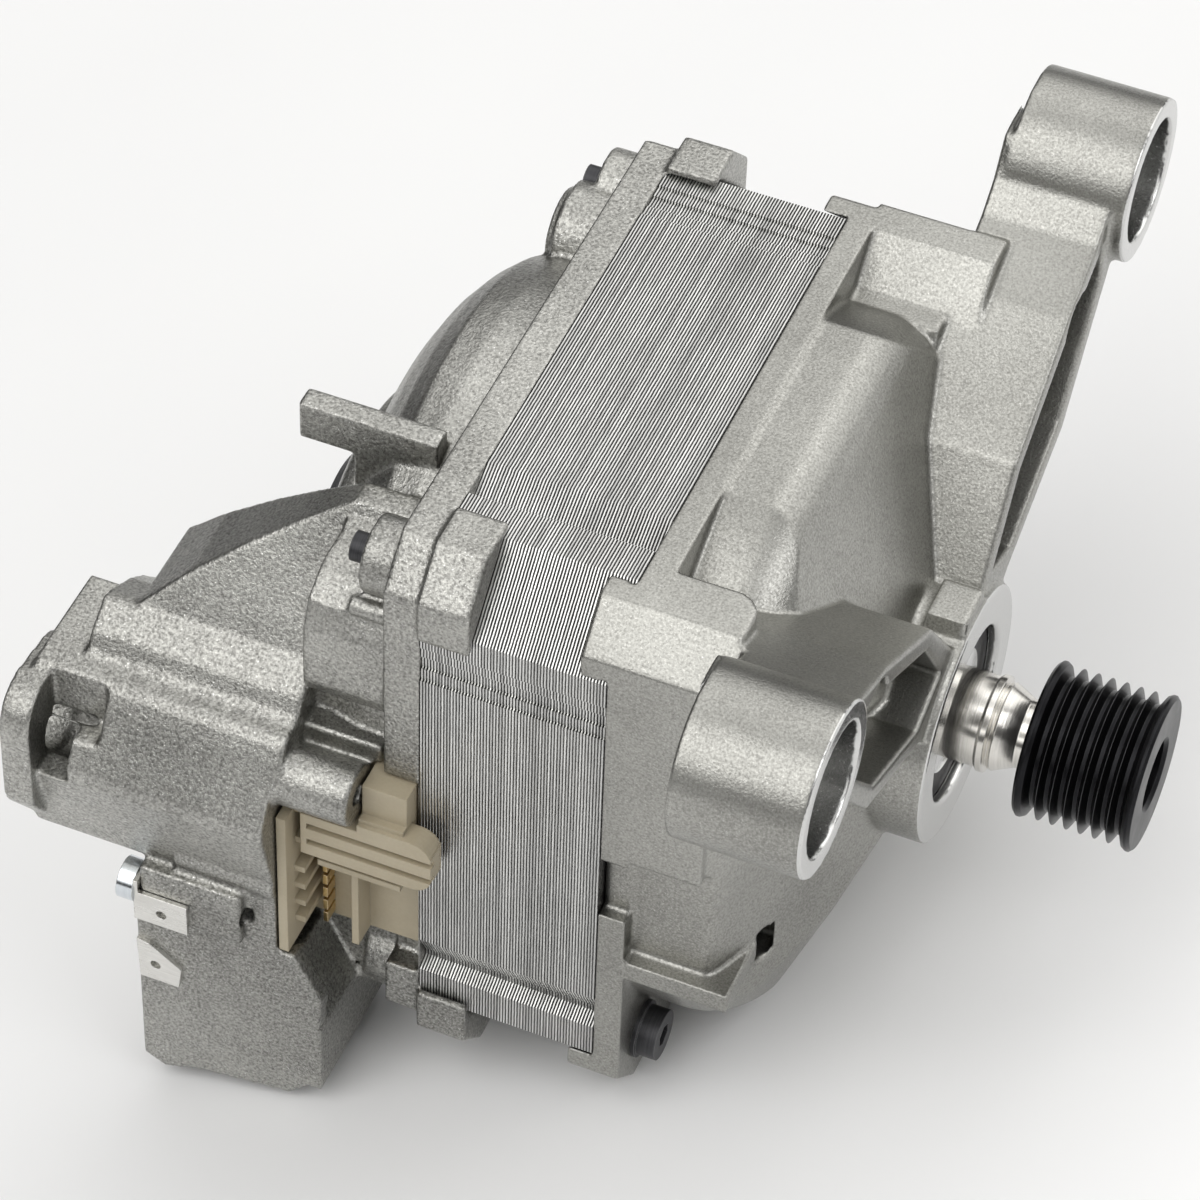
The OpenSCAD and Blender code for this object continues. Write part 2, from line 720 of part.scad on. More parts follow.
module seal_pair(x, outer, bore, w, ball) {
    pitch = (outer + bore) / 4;
    inner = pitch - ball * 0.36 + 0.2;
    color(dark) for (s = [-1, 1]) translate([x + s * (w / 2 - 0.5) - 0.25, 0, 0])
        turn_x() translate([inner, 0]) square([pitch + ball * 0.36 - inner, 0.5]);
}

brg_a_x = (brg_a_front_x + brg_a_back_x) / 2;
brg_b_x = (brg_b_front_x + brg_b_back_x) / 2;

module drive_bearing_outer_race() {
    outer_race(brg_a_x, brg_a_outer_d, brg_a_bore_d, brg_a_w, brg_a_ball_d);
}

module drive_bearing_inner_race() {
    inner_race(brg_a_x, brg_a_outer_d, brg_a_bore_d, brg_a_w, brg_a_ball_d);
}

module drive_bearing_balls() {
    ball_set(brg_a_x, brg_a_outer_d, brg_a_bore_d, brg_a_ball_d, 8);
}

module drive_bearing_cage() {
    ball_cage(brg_a_x, brg_a_outer_d, brg_a_bore_d, brg_a_ball_d, 8);
}

module drive_bearing_seals() {
    seal_pair(brg_a_x, brg_a_outer_d, brg_a_bore_d, brg_a_w, brg_a_ball_d);
}

module rear_bearing_outer_race() {
    outer_race(brg_b_x, brg_b_outer_d, brg_b_bore_d, brg_b_w, brg_b_ball_d);
}

module rear_bearing_inner_race() {
    inner_race(brg_b_x, brg_b_outer_d, brg_b_bore_d, brg_b_w, brg_b_ball_d);
}

module rear_bearing_balls() {
    ball_set(brg_b_x, brg_b_outer_d, brg_b_bore_d, brg_b_ball_d, 7);
}

module rear_bearing_cage() {
    ball_cage(brg_b_x, brg_b_outer_d, brg_b_bore_d, brg_b_ball_d, 7);
}

module rear_bearing_seals() {
    seal_pair(brg_b_x, brg_b_outer_d, brg_b_bore_d, brg_b_w, brg_b_ball_d);
}

// Open spring ring in a groove of the hub, behind the drive-end bearing
module retaining_ring() {
    color(steel) difference() {
        turn_x() translate([brg_a_outer_d / 2 - 2.4, brg_a_back_x - 1.2]) square([3.3, 1.2]);
        block([brg_a_back_x - 2, -3, -brg_a_outer_d], [brg_a_back_x + 1, 3, 0]);
    }
}

// Spring washer between the rear bearing and the lip of its seat
module preload_washer() {
    color(steel) turn_x() translate([brg_b_outer_d / 2 - 1.9, brg_b_back_x - washer_t])
        square([1.8, washer_t]);
}

module shaft() {
    nose_end = pulley_x + pulley_width() - nose_recess;
    color(steel) turn_x() polygon([[0, sensor_end_x + 1.2], [3.6, sensor_end_x + 1.2],
        [4, sensor_end_x + 1.6], [4, brg_b_back_x - 0.6], [brg_b_bore_d / 2, brg_b_back_x - 0.6],
        [brg_b_bore_d / 2, brg_b_front_x], [6.4, brg_b_front_x], [6.4, comm_front_x + 1.5],
        [core_shaft_d / 2, comm_front_x + 1.5], [core_shaft_d / 2, brg_a_back_x],
        [brg_a_bore_d / 2, brg_a_back_x], [brg_a_bore_d / 2, hub_x + 3.8],
        [brg_a_bore_d / 2 + 0.5, hub_x + 4.2], [brg_a_bore_d / 2 + 0.5, hub_x + 5.2],
        [brg_a_bore_d / 2 - 0.5, hub_x + 5.6], [brg_a_bore_d / 2 - 0.2, hub_x + 6.4],
        [brg_a_bore_d / 2 - 0.6, hub_x + 7.2], [nose_d / 2, hub_x + 9.8],
        [nose_d / 2, nose_end - 0.6], [nose_d / 2 - 0.6, nose_end], [0, nose_end]]);
}

core_r = bore_r - air_gap;

module slot_pattern(grow) {
    for (i = [0:slot_count - 1]) rotate(360 / slot_count * (i + 0.5)) {
        translate([core_r - 1.6, -slot_mouth / 2 + grow]) square([4, slot_mouth - 2 * grow]);
        polygon([[core_r - 1.5, -2.6 + grow], [core_r - 1.5, 2.6 - grow],
            [core_r - slot_depth, 1.2 - grow], [core_r - slot_depth, -1.2 + grow]]);
    }
}

module armature_core() {
    color("dimgray") along_x(back, 0) difference() {
        circle(core_r);
        slot_pattern(0);
        circle(core_shaft_d / 2 + 1);
    }
}

// Insulating tube between the shaft and the laminations
module armature_slot_liners() {
    color("seagreen") turn_x() translate([core_shaft_d / 2, back - 1]) square([1, stack_len + 2]);
}

module armature_windings() {
    color(copper) {
        along_x(back, 0) intersection() {
            slot_pattern(0.25);
            circle(core_r - 1.8);
        }
        winding_head(0, 1);
        winding_head(back, -1);
    }
}

module winding_head(x, s) {
    translate([x, 0, 0]) mirror([s < 0 ? 1 : 0, 0, 0]) difference() {
        turn_x() polygon([[core_shaft_d / 2 + 1.2, 1], [core_r - slot_depth + 0.5, 0],
            [core_r - 2, 0], [core_r - 2, 4], [core_r - 3.4, head_reach - 2.4],
            [core_r - 6, head_reach - 0.6], [core_r - 9.5, head_reach],
            [core_shaft_d / 2 + 3, head_reach], [core_shaft_d / 2 + 1.2, head_reach - 2]]);
        for (i = [0:slot_count - 1]) rotate([360 / slot_count * i, 0, 0])
            translate([-1, -0.4, core_r - 5]) cube([head_reach + 2, 0.8, 8]);
    }
}

module commutator_bars() {
    color(copper) difference() {
        turn_x() polygon([[comm_d / 2 - 4.5, comm_back_x + 1], [comm_d / 2 - 1, comm_back_x],
            [comm_d / 2, comm_back_x + 1], [comm_d / 2, comm_front_x - riser_w],
            [comm_d / 2 + 1.6, comm_front_x - riser_w], [comm_d / 2 + 1.6, comm_front_x],
            [comm_d / 2 - 4.5, comm_front_x]]);
        for (i = [0:slot_count - 1]) rotate([360 / slot_count * (i + 0.5), 0, 0])
            translate([comm_back_x - 1, -0.3, 0]) cube([comm_len + 2, 0.6, comm_d]);
    }
}

module commutator_hub() {
    color([0.25, 0.14, 0.1]) turn_x() translate([6.4, comm_back_x + 0.4])
        square([comm_d / 2 - 10.9, comm_len - 0.4]);
}

// Ring that keeps the commutator off the winding head
module commutator_spacer() {
    color(cream) turn_x() translate([core_shaft_d / 2, comm_front_x]) square([3, 1.5]);
}

function pulley_width() = 2 * pulley_land + groove_count * groove_pitch + 1.2;

module pulley() {
    w = pulley_width();
    r = pulley_d / 2;
    g0 = pulley_land + 0.6;
    color(dark) translate([pulley_x, 0, 0]) turn_x() difference() {
        polygon(concat([[nose_d / 2 - eps / 2, 0], [r - 0.5, 0], [r, 0.5], [r, pulley_land]],
            [for (i = [0:groove_count - 1]) each [[r - 0.35, g0 + groove_pitch * i],
                [r - groove_depth, g0 + groove_pitch * (i + 0.36)],
                [r - groove_depth, g0 + groove_pitch * (i + 0.64)],
                [r - 0.35, g0 + groove_pitch * (i + 1)]]],
            [[r, w - pulley_land], [r, w - 0.5], [r - 0.5, w], [nose_d / 2 + 0.6, w],
            [nose_d / 2 - eps / 2, w - 0.6]]));
        translate([-1, -1]) square([nose_d / 2 + 1, w + 2]);
    }
}

module speed_magnet() {
    color([0.2, 0.2, 0.2]) turn_x() translate([4, sensor_end_x + 1.6]) square([3.4, rear_hub_x - sensor_end_x - 2]);
}

module speed_coil() {
    color(copper) turn_x() translate([8, sensor_end_x + 1.2]) square([2.6, rear_hub_x - sensor_end_x - 1.2]);
}

module speed_sensor_cap() {
    color(dark) turn_x() polygon([[0, sensor_end_x], [11, sensor_end_x], [12, sensor_end_x + 1],
        [12, rear_hub_x], [10.6, rear_hub_x], [10.6, sensor_end_x + 1.2], [8.4, sensor_end_x + 0.8],
        [0, sensor_end_x + 0.8]]);
}

// Brush gear, made for the far side (+Y) and mirrored for the near side
brush_tip = comm_d / 2 + 0.3;
brush_end = brush_tip + brush_len;
spring_end = 47.2;

module near() {
    mirror([0, 1, 0]) children();
}

module brush_frame() {
    color([0.3, 0.2, 0.15]) difference() {
        block([brush_mid_x - pocket_w + 0.3, brush_tip + 2.5, -5.4],
            [brush_mid_x + pocket_w - 0.3, 48.6, 5.4]);
        block([brush_mid_x - brush_x / 2 - tube_t - 0.3, brush_tip + 1, -brush_z / 2 - tube_t - 0.3],
            [brush_mid_x + brush_x / 2 + tube_t + 0.3, spring_end, brush_z / 2 + tube_t + 0.3]);
    }
}

module brush_tube() {
    color("gold") difference() {
        block([brush_mid_x - brush_x / 2 - tube_t - 0.3, brush_tip + 1.6, -brush_z / 2 - tube_t - 0.3],
            [brush_mid_x + brush_x / 2 + tube_t + 0.3, spring_end, brush_z / 2 + tube_t + 0.3]);
        block([brush_mid_x - brush_x / 2 - 0.3, brush_tip, -brush_z / 2 - 0.3],
            [brush_mid_x + brush_x / 2 + 0.3, spring_end - tube_t, brush_z / 2 + 0.3]);
    }
}

module brush() {
    color([0.15, 0.15, 0.16]) difference() {
        block([brush_mid_x - brush_x / 2, brush_tip, -brush_z / 2],
            [brush_mid_x + brush_x / 2, brush_end, brush_z / 2]);
        rod_x(comm_d + 0.6, brush_mid_x - 20, brush_mid_x + 20);
    }
}

// Helical spring behind the brush
spring_r = brush_z / 2 - spring_wire_d / 2 - 0.1;
spring_y0 = brush_end + spring_wire_d / 2 + 0.15;
spring_y1 = spring_end - tube_t - spring_wire_d / 2 - 0.15;
rings = 8 * spring_turns;

function spring_point(i) = let (a = 360 / 8 * i)
    [brush_mid_x + spring_r * cos(a), spring_y0 + (spring_y1 - spring_y0) * i / rings, spring_r * sin(a)];

function spring_ring(i) = let (a = 360 / 8 * i, p = spring_point(i))
    [for (k = [0:5]) p + spring_wire_d / 2 * [cos(60 * k) * cos(a), sin(60 * k), cos(60 * k) * sin(a)]];

module brush_spring() {
    color(steel) polyhedron(points = [for (i = [0:rings]) each spring_ring(i)],
        faces = concat([[0, 1, 2, 3, 4, 5]], [[for (k = [5:-1:0]) rings * 6 + k]],
        [for (i = [0:rings - 1], k = [0:5], h = [0, 1]) let (a = i * 6 + k, b = i * 6 + (k + 1) % 6)
            h == 0 ? [a, a + 6, b] : [b, a + 6, b + 6]]));
}

module brush_frame_near() {
    near() brush_frame();
}

module brush_frame_far() {
    brush_frame();
}

module brush_tube_near() {
    near() brush_tube();
}

module brush_tube_far() {
    brush_tube();
}

module brush_near() {
    near() brush();
}

module brush_far() {
    brush();
}

module brush_spring_near() {
    near() brush_spring();
}

module brush_spring_far() {
    brush_spring();
}

// Connector block with a rounded tongue in front of the stator
module terminal_block() {
    x0 = block_left_x + 0.3;
    x1 = x0 + 12.6;
    z0 = block_top_z - block_h;
    color(cream) difference() {
        union() {
            block([x0, -block_y + 1.5, z0], [back - 0.6, -half + 4, block_top_z]);
            block([x0, -conn_wall_y + 0.5, z0], [x0 + 1.6, -block_y + 3, -1.4]);
            block([x1, -block_y - 4.2, 0], [back - 0.6, -block_y + 3, block_top_z]);
            block([x1, -block_y - 5.6, -2.6], [back - 0.6, -block_y + 3, 0.8]);
            block([x0, -block_y - 5.4, -2.6], [back - 0.6, -block_y + 3, -1.4]);
            block([x0, -block_y - 5.4, -9.8], [back - 0.6, -block_y + 3, -8.6]);
            block([x0 + 5, -block_y - 4.6, -14.6], [back - 1.6, -block_y + 3, -13.4]);
            block([x0 + 10, -block_y - 3, z0], [x0 + 11.2, -block_y + 3, -13.6]);
            // Comb on the left wall
            for (z = [-28:4:-16]) block([x0 + 1, -block_y - 6, z], [x0 + 3.4, -block_y + 3, z + 1.2]);
            // Tongue
            translate([0, -half - 1.6, 0]) rotate([90, 0, 0]) linear_extrude(4) union() {
                translate([x0 + 3, -10.6]) square([back + 1 - x0 - 3, 9.2]);
                translate([x1, -3]) square([back + 1 - x1, 3]);
                translate([back + 1, -8.2]) square([3.4, 5.8]);
                translate([back + 1, -3.4]) circle(3.4);
                translate([back + 1, -7.2]) circle(3.4);
            }
        }
        block([x0 + 4, -half - 8, -8.2], [back + 6, -half - 4.4, -7]);
        block([x0 + 4, -half - 8, -4.6], [back + 6, -half - 4.4, -3.4]);
    }
}

module terminal_blades() {
    pitch = 3;
    color("gold") for (i = [0:blade_count - 1])
        translate([block_left_x + 4.6, -block_y - 1.4, block_top_z - block_h + 1 + pitch * i])
            cube([0.8, 2.9, blade_w]);
}

module earth_tab_upper() {
    color(steel) difference() {
        union() {
            block([back - 44.3, -66.4, -32.4], [back - 35, -65.6, -26]);
            block([back - 44.3, -66.4, -32.4], [back - 43.5, -59, -23.4]);
        }
        translate([back - 39.5, -64, -29.6]) rotate([90, 0, 0]) cylinder(d = 1.8, h = 4);
        translate([0, -63.5, -26.5]) rod_x(3.4, back - 45, back - 42);
    }
}

module earth_tab_lower() {
    color(steel) translate([0, -conn_wall_y, 0]) rotate([90, 0, 0]) linear_extrude(0.8) difference() {
        polygon([[back - 45.6, -41], [back - 43.4, -41.4], [back - 37.8, -45.6], [back - 38.4, -50],
            [back - 45.2, -50]]);
        translate([back - 42.4, -46.2]) circle(0.9);
    }
}

module earth_tab_screw() {
    color("silver") translate([0, -63.5, -26.5]) {
        rod_x(3.2, back - 44.3, back - 30);
        rod_x(7, back - 47.1, back - 44.3);
    }
}

stator_core();
field_coil_upper();
field_coil_lower();
front_end_insulator();
rear_end_insulator();
drive_end_shield();
rear_end_shield();
housing_screws();
drive_bearing_outer_race();
drive_bearing_inner_race();
drive_bearing_balls();
drive_bearing_cage();
drive_bearing_seals();
rear_bearing_outer_race();
rear_bearing_inner_race();
rear_bearing_balls();
rear_bearing_cage();
rear_bearing_seals();
retaining_ring();
preload_washer();
shaft();
armature_core();
armature_slot_liners();
armature_windings();
commutator_bars();
commutator_hub();
commutator_spacer();
pulley();
speed_magnet();
speed_coil();
speed_sensor_cap();
brush_frame_near();
brush_frame_far();
brush_tube_near();
brush_tube_far();
brush_near();
brush_far();
brush_spring_near();
brush_spring_far();
terminal_block();
terminal_blades();
earth_tab_upper();
earth_tab_lower();
earth_tab_screw();
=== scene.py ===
"""Looks of a washing machine drive motor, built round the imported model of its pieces.

The frame is in metres: X runs along the shaft towards the pulley, Z is up, and the origin lies on
the shaft axis at the stator face that meets the drive-end shield. Each finish is a small frozen
dataclass that makes one procedural material, each sub-assembly is a class that dresses its pieces
and rounds their edges, and the studio class makes the floor, the light and the camera.
"""

import logging
import math
from dataclasses import dataclass, field
from enum import Enum
from typing import Any

import bpy
from mathutils import Matrix, Vector


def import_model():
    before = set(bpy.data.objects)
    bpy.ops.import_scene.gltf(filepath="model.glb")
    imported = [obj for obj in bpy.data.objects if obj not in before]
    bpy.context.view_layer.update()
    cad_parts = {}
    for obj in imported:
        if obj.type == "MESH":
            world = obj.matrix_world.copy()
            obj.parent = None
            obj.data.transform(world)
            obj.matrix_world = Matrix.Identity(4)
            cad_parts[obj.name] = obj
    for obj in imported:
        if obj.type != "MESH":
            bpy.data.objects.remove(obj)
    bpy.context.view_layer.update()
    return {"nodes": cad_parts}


LOG = logging.getLogger("motor")
MM = 0.001
# Angles in degrees: sharper edges are bevelled, and flatter ones shaded smooth after it.
SHARP = 35.0
BEVELLED = 40.0
Colour = tuple[float, float, float]
Point = tuple[float, float, float]


class End(Enum):
    """The motor's two ends, as the names of the bearing pieces have them."""

    DRIVE = "drive"
    REAR = "rear"


class Side(Enum):
    """The motor's two sides, as the names of the brush pieces have them."""

    NEAR = "near"
    FAR = "far"


class NodeTree:
    """A thin helper over one material's node tree."""

    def __init__(self, name: str) -> None:
        """Makes an empty material.

        Args:
            name: the material's name.
        """
        self.material = bpy.data.materials.new(name)
        self.material.use_nodes = True
        self.tree = self.material.node_tree
        self.shader = self.tree.nodes["Principled BSDF"]
        self._place: Any = None

    def node(self, kind: str, **settings: Any) -> Any:
        """Adds a node.

        Args:
            kind: the node's type name, without the prefix.
            **settings: attributes to set on it.

        Returns:
            The node.
        """
        made = self.tree.nodes.new("ShaderNode" + kind)
        for key, value in settings.items():
            setattr(made, key, value)
        return made

    def link(self, source: Any, target: Any) -> None:
        """Links one socket to another."""
        self.tree.links.new(source, target)

    def feed(self, target: Any, value: Any) -> None:
        """Sets a socket to a number or colour, or links a socket to it.

        Args:
            target: the input socket.
            value: a plain value, or an output socket.
        """
        if isinstance(value, bpy.types.NodeSocket):
            self.link(value, target)
        else:
            target.default_value = value

    def place(self) -> Any:
        """Gives the position on the object, the same for every piece.

        Returns:
            The object coordinate socket.
        """
        if self._place is None:
            self._place = self.node("TexCoord").outputs["Object"]
        return self._place

    def stretched(self, scale: Point, turn: Point = (0.0, 0.0, 0.0)) -> Any:
        """Gives the position stretched along the axes.

        Args:
            scale: the factor along X, Y and Z.
            turn: a turn about X, Y and Z in degrees.

        Returns:
            The mapped coordinate socket.
        """
        mapping = self.node("Mapping")
        self.link(self.place(), mapping.inputs["Vector"])
        mapping.inputs["Scale"].default_value = scale
        mapping.inputs["Rotation"].default_value = [math.radians(a) for a in turn]
        return mapping.outputs["Vector"]

    def noise(self, scale: float, detail: float = 2.0, rough: float = 0.5, vector: Any = None) -> Any:
        """Adds a noise pattern.

        Args:
            scale: how many cells a metre holds.
            detail: the number of octaves.
            rough: the weight of the finer octaves.
            vector: a coordinate socket, or None for the position.

        Returns:
            The pattern's value socket.
        """
        made = self.node("TexNoise")
        self.link(vector or self.place(), made.inputs["Vector"])
        made.inputs["Scale"].default_value = scale
        made.inputs["Detail"].default_value = detail
        made.inputs["Roughness"].default_value = rough
        return made.outputs["Fac"]

    def ramp(self, value: Any, low: float, high: float, to_low: float = 0.0, to_high: float = 1.0) -> Any:
        """Maps a range of a value onto another, clamped.

        Args:
            value: the value socket.
            low: start of the range.
            high: end of the range.
            to_low: result at the start.
            to_high: result at the end.

        Returns:
            The result socket.
        """
        made = self.node("MapRange")
        self.link(value, made.inputs["Value"])
        for name, number in (("From Min", low), ("From Max", high), ("To Min", to_low), ("To Max", to_high)):
            made.inputs[name].default_value = number
        return made.outputs["Result"]

    def sum(self, a: Any, b: Any, operation: str = "ADD") -> Any:
        """Combines two values.

        Args:
            a: first socket or number.
            b: second socket or number.
            operation: the Math node's operation.

        Returns:
            The result socket.
        """
        made = self.node("Math", operation=operation)
        self.feed(made.inputs[0], a)
        self.feed(made.inputs[1], b)
        return made.outputs[0]

    def blend(self, a: Any, b: Any, factor: Any) -> Any:
        """Mixes two colours.

        Args:
            a: first colour, as a socket or as RGB.
            b: second colour, as a socket or as RGB.
            factor: share of the second, as a socket or a number.

        Returns:
            The colour socket.
        """
        made = self.node("Mix", data_type="RGBA")
        self.feed(made.inputs["Factor"], factor)
        for name, colour in (("A", a), ("B", b)):
            socket = [s for s in made.inputs if s.name == name and s.type == "RGBA"][0]
            self.feed(socket, (*colour, 1.0) if isinstance(colour, tuple) else colour)
        return [s for s in made.outputs if s.type == "RGBA"][0]

    def relief(self, height: Any, depth: float, strength: float = 1.0, below: Any = None) -> Any:
        """Adds a bump.

        Args:
            height: the height socket, from 0 to 1.
            depth: what a height of 1 means, in metres.
            strength: the bump's weight.
            below: another relief to build on.

        Returns:
            The normal socket.
        """
        made = self.node("Bump")
        made.inputs["Strength"].default_value = strength
        made.inputs["Distance"].default_value = depth
        self.link(height, made.inputs["Height"])
        if below is not None:
            self.link(below, made.inputs["Normal"])
        return made.outputs["Normal"]

    def soft_edges(self, radius: float) -> Any:
        """Rounds the look of sharp edges.

        Args:
            radius: the rounding in metres.

        Returns:
            The normal socket.
        """
        made = self.node("Bevel", samples=6)
        made.inputs["Radius"].default_value = radius
        return made.outputs["Normal"]

    def edge_mask(self, radius: float, low: float, high: float) -> Any:
        """Gives 1 near sharp edges and 0 on flat places.

        Args:
            radius: the width of the band in metres.
            low: where the mask starts.
            high: where the mask is full.

        Returns:
            The mask socket.
        """
        rounded = self.soft_edges(radius)
        geometry = self.node("NewGeometry")
        dot = self.node("VectorMath", operation="DOT_PRODUCT")
        self.link(rounded, dot.inputs[0])
        self.link(geometry.outputs["Normal"], dot.inputs[1])
        return self.ramp(self.sum(1.0, dot.outputs["Value"], "SUBTRACT"), low, high)

    def finish(self, **inputs: Any) -> bpy.types.Material:
        """Sets the shader's sockets.

        Args:
            **inputs: socket names with spaces written as underscores.

        Returns:
            The material.
        """
        for key, value in inputs.items():
            socket = self.shader.inputs[key.replace("_", " ")]
            if isinstance(value, tuple) and len(value) == 3 and socket.type == "RGBA":
                value = (*value, 1.0)
            self.feed(socket, value)
        return self.material


class Finish:
    """Anything that can make one material."""

    name: str

    def build(self) -> bpy.types.Material:
        """Makes the material."""
        raise NotImplementedError

    def dress(self, *pieces: bpy.types.Object) -> None:
        """Gives the material to pieces.

        Args:
            *pieces: the objects to dress.
        """
        material = bpy.data.materials.get(self.name) or self.build()
        for piece in pieces:
            piece.data.materials.clear()
            piece.data.materials.append(material)


@dataclass(frozen=True)
class Turned:
    """A round place about a line along X that was turned or milled, in metres."""

    y: float
    z: float
    radius: float
    start: float
    end: float = 0.05


@dataclass(frozen=True)
class Casting(Finish):
    """Die-cast aluminium with a blasted, grainy skin, painted glints on its grains and a few machined places.
    """

    name: str
    light: Colour
    dark: Colour
    grain: float
    depth: float
    rough: float
    # How much of the painted glints, near-white specks in the colour, shows on the unmachined skin.
    painted_glint_share: float
    machined: tuple[Turned, ...] = ()
    # Painted glints: the near-white tone of the specks and the turn of their pattern.
    painted_glint_tone: Colour = (0.98, 0.98, 0.97)
    painted_glint_turn: Point = (0.6, 0.3, 0.2)
    worn_tone: Colour = (0.85, 0.85, 0.83)
    cut_tone: Colour = (0.62, 0.62, 0.61)

    def build(self) -> bpy.types.Material:
        """Makes the material: grains of slightly different tilt, tone and gloss, with near-white specks
        painted in as glints.
        """
        t = NodeTree(self.name)
        skin = t.noise(1 / self.grain, 3.0, 0.62)
        lumps = t.noise(1 / (self.grain * 7), 3.0, 0.55)
        flow = t.noise(26, 4.0, 0.6)
        cut = self._machined(t)
        uncut = t.sum(1.0, cut, "SUBTRACT")
        height = t.sum(t.ramp(skin, 0.3, 0.72), uncut, "MULTIPLY")
        normal = t.relief(lumps, self.depth * 2.2, 0.55, t.soft_edges(0.0004))
        normal = t.relief(height, self.depth, 0.9, normal)
        tone = t.blend(self.dark, self.light, t.ramp(t.sum(skin, t.sum(flow, 0.6, "MULTIPLY")), 0.55, 1.05))
        # Painted glints: small near-white specks in the colour where the grainy skin would sparkle in light,
        # kept off machined places.
        turned = t.stretched((1.0, 1.0, 1.0), self.painted_glint_turn)
        painted_glint = t.ramp(t.noise(1 / (self.grain * 0.55), 2.0, 0.5, turned), 0.64, 0.74)
        painted_glint = t.sum(painted_glint, t.sum(self.painted_glint_share, uncut, "MULTIPLY"), "MULTIPLY")
        tone = t.blend(tone, self.painted_glint_tone, painted_glint)
        worn = t.edge_mask(0.0007, 0.05, 0.35)
        tone = t.blend(tone, self.worn_tone, t.sum(worn, 0.3, "MULTIPLY"))
        tone = t.blend(tone, self.cut_tone, cut)
        shine = t.sum(skin, t.sum(painted_glint, 0.3, "MULTIPLY"))
        gloss = t.ramp(shine, 0.3, 0.9, self.rough + 0.1, self.rough - 0.1)
        gloss = t.sum(gloss, t.sum(cut, 0.12, "MULTIPLY"), "SUBTRACT")
        return t.finish(Base_Color=tone, Metallic=1.0, Roughness=gloss, Normal=normal)

    def _machined(self, t: NodeTree) -> Any:
        """Gives 1 on turned or milled places, and 0 elsewhere.

        Args:
            t: the material's tree.

        Returns:
            The mask socket.
        """
        split = t.node("SeparateXYZ")
        t.link(t.place(), split.inputs[0])
        mask = t.sum(0.0, 0.0)
        for spot in self.machined:
            dy = t.sum(t.sum(split.outputs["Y"], spot.y, "SUBTRACT"), 2.0, "POWER")
            dz = t.sum(t.sum(split.outputs["Z"], spot.z, "SUBTRACT"), 2.0, "POWER")
            near = t.sum(t.sum(dy, dz), spot.radius ** 2, "LESS_THAN")
            along = t.sum(t.sum(split.outputs["X"], spot.start, "GREATER_THAN"),
                          t.sum(split.outputs["X"], spot.end, "LESS_THAN"), "MULTIPLY")
            mask = t.sum(mask, t.sum(near, along, "MULTIPLY"), "MAXIMUM")
        return mask


@dataclass(frozen=True)
class SheetStack(Finish):
    """The cut edges of stacked electrical sheet, half a millimetre each."""

    name: str
    pitch: float = 0.0005
    light: Colour = (0.9, 0.9, 0.88)
    dark: Colour = (0.06, 0.06, 0.06)
    dull: Colour = (0.48, 0.48, 0.47)
    stained: Colour = (0.36, 0.355, 0.345)

    def build(self) -> bpy.types.Material:
        """Makes the material: one tone and tilt a sheet, dark seams and small burrs."""
        t = NodeTree(self.name)
        split = t.node("SeparateXYZ")
        t.link(t.place(), split.inputs[0])
        along = t.sum(split.outputs["X"], self.pitch, "DIVIDE")
        along = t.sum(along, t.ramp(t.noise(900, 2.0), 0.2, 0.8, -0.07, 0.07))
        sheet = t.node("TexWhiteNoise", noise_dimensions="1D")
        t.link(t.sum(along, 0.0, "FLOOR"), sheet.inputs["W"])
        wave = t.sum(along, 0.5, "PINGPONG")
        seam = t.ramp(wave, 0.06, 0.3)
        cross = t.stretched((1.0, 0.05, 0.05))
        streak = t.noise(2600, 2.0, 0.6, cross)
        stain = t.noise(38, 4.0, 0.65)
        tone = t.ramp(t.sum(t.sum(sheet.outputs["Value"], 0.4, "MULTIPLY"), streak), 0.35, 1.0)
        colour = t.blend(self.dull, self.light, tone)
        colour = t.blend(colour, self.stained, t.ramp(stain, 0.5, 0.8, 0.0, 0.4))
        colour = t.blend(self.dark, colour, seam)
        height = t.sum(seam, t.sum(sheet.outputs["Value"], 0.35, "MULTIPLY"))
        normal = t.relief(height, 0.0002, 0.9)
        normal = t.relief(streak, 0.00003, 0.5, normal)
        gloss = t.ramp(t.sum(stain, t.sum(sheet.outputs["Value"], 0.3, "MULTIPLY")), 0.3, 1.1, 0.26, 0.42)
        return t.finish(Base_Color=colour, Metallic=1.0, Roughness=gloss, Normal=normal)


@dataclass(frozen=True)
class Metal(Finish):
    """Plain metal with turning or drawing lines and fine wear."""

    name: str
    colour: Colour
    shade: Colour
    rough: float
    lines: Point = (1.0, 0.02, 0.02)
    pitch: float = 0.00018
    depth: float = 0.00001
    metallic: float = 1.0
    edge: Colour = (0.9, 0.9, 0.9)
    wear: float = 0.3

    def build(self) -> bpy.types.Material:
        """Makes the material: tone and gloss follow the tool lines, edges are worn bright."""
        t = NodeTree(self.name)
        tool = t.noise(1 / self.pitch, 3.0, 0.6, t.stretched(self.lines))
        cloud = t.noise(140, 4.0, 0.6)
        tone = t.blend(self.shade, self.colour, t.ramp(t.sum(tool, cloud), 0.7, 1.3))
        worn = t.edge_mask(0.00035, 0.04, 0.3)
        tone = t.blend(tone, self.edge, t.sum(worn, self.wear, "MULTIPLY"))
        shine = t.sum(cloud, t.sum(tool, 0.5, "MULTIPLY"))
        gloss = t.ramp(shine, 0.4, 1.1, self.rough - 0.07, self.rough + 0.09)
        normal = t.relief(tool, self.depth, 0.8, t.soft_edges(0.00022))
        return t.finish(Base_Color=tone, Metallic=self.metallic, Roughness=gloss, Normal=normal)


